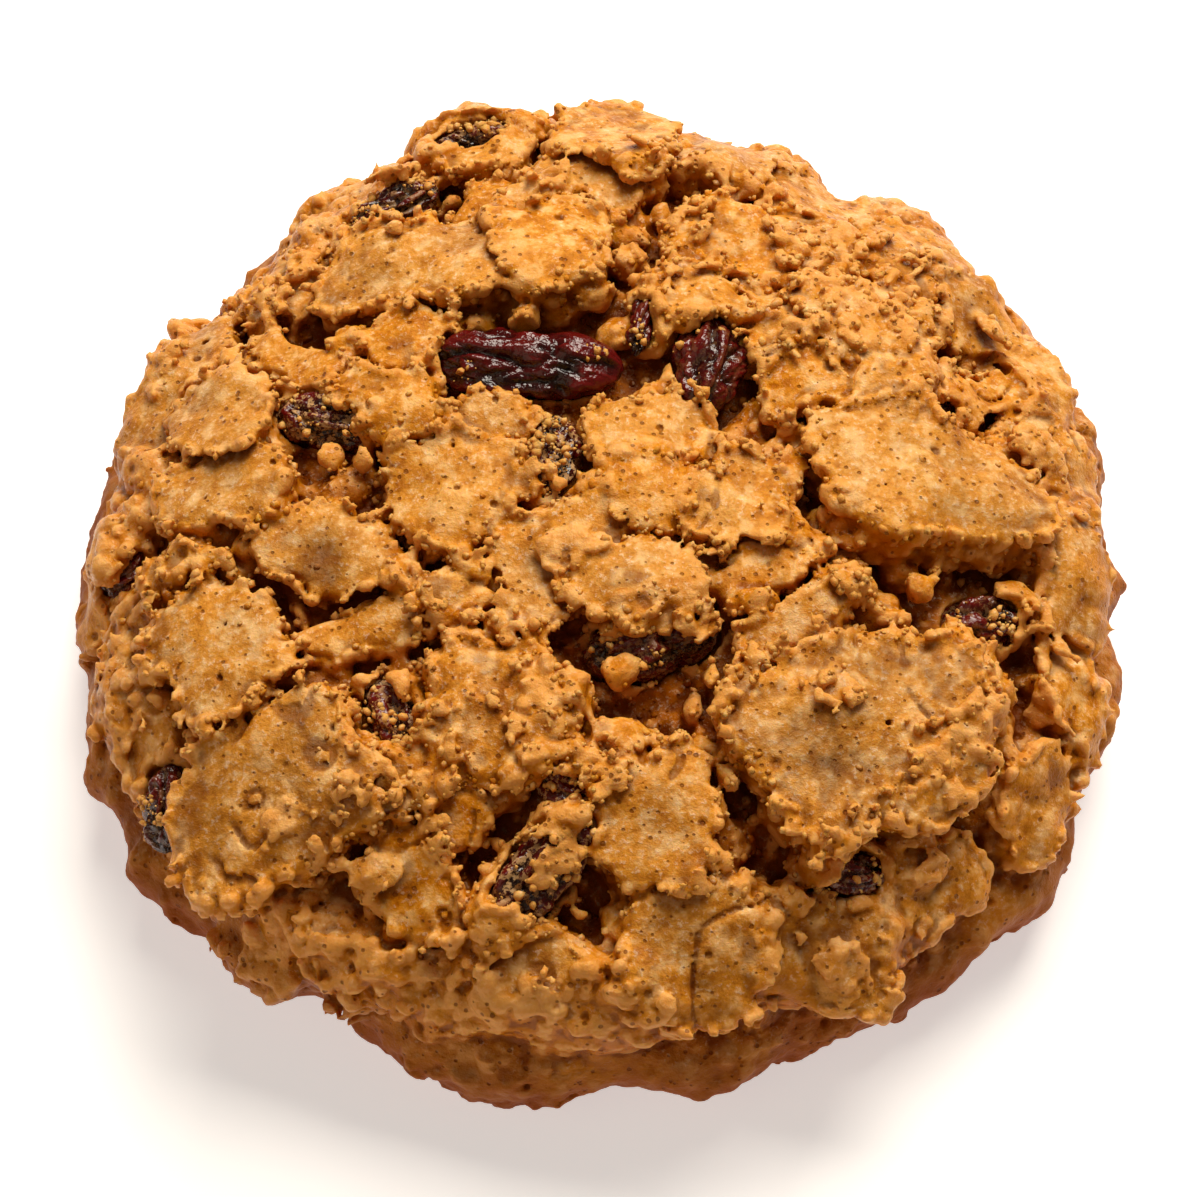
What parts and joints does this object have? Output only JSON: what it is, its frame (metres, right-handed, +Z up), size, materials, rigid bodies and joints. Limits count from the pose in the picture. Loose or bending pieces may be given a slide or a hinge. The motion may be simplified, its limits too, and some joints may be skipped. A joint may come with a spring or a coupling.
{
  "type": "oatmeal cranberry cookie",
  "caption": "Round domed drop cookie of oat dough with a cracked, craggy top, a lumpy wall and a flat underside, and dried cranberries seated in pockets.",
  "frame": {"origin": "middle of the bounding box on the flat underside", "axes": "+Z up out of the domed top, -Y towards the side whose crust plates lift most, +X to the right seen from there"},
  "size_m": [0.078, 0.0804, 0.0238],
  "materials": {
    "baked_oat_dough": "matte, golden brown baked crust with moist brown crumb in its cracks",
    "dried_cranberry": "glossy, sticky, very dark red fruit skin"
  },
  "bodies": {
    "root": {"oat_dough": "baked_oat_dough", "cranberry_centre_long": "dried_cranberry", "cranberry_centre_round": "dried_cranberry", "cranberry_centre_slim": "dried_cranberry", "cranberry_far_left": "dried_cranberry", "cranberry_far_shoulder": "dried_cranberry", "cranberry_left_sugared": "dried_cranberry", "cranberry_middle_hidden": "dried_cranberry", "cranberry_middle_low": "dried_cranberry", "cranberry_near_small": "dried_cranberry", "cranberry_near_long": "dried_cranberry", "cranberry_left_crack": "dried_cranberry", "cranberry_right_crack": "dried_cranberry", "cranberry_near_right": "dried_cranberry", "cranberry_left_edge": "dried_cranberry", "cranberry_left_rim": "dried_cranberry", "cranberry_right_shoulder": "dried_cranberry"}
  },
  "joints": []
}
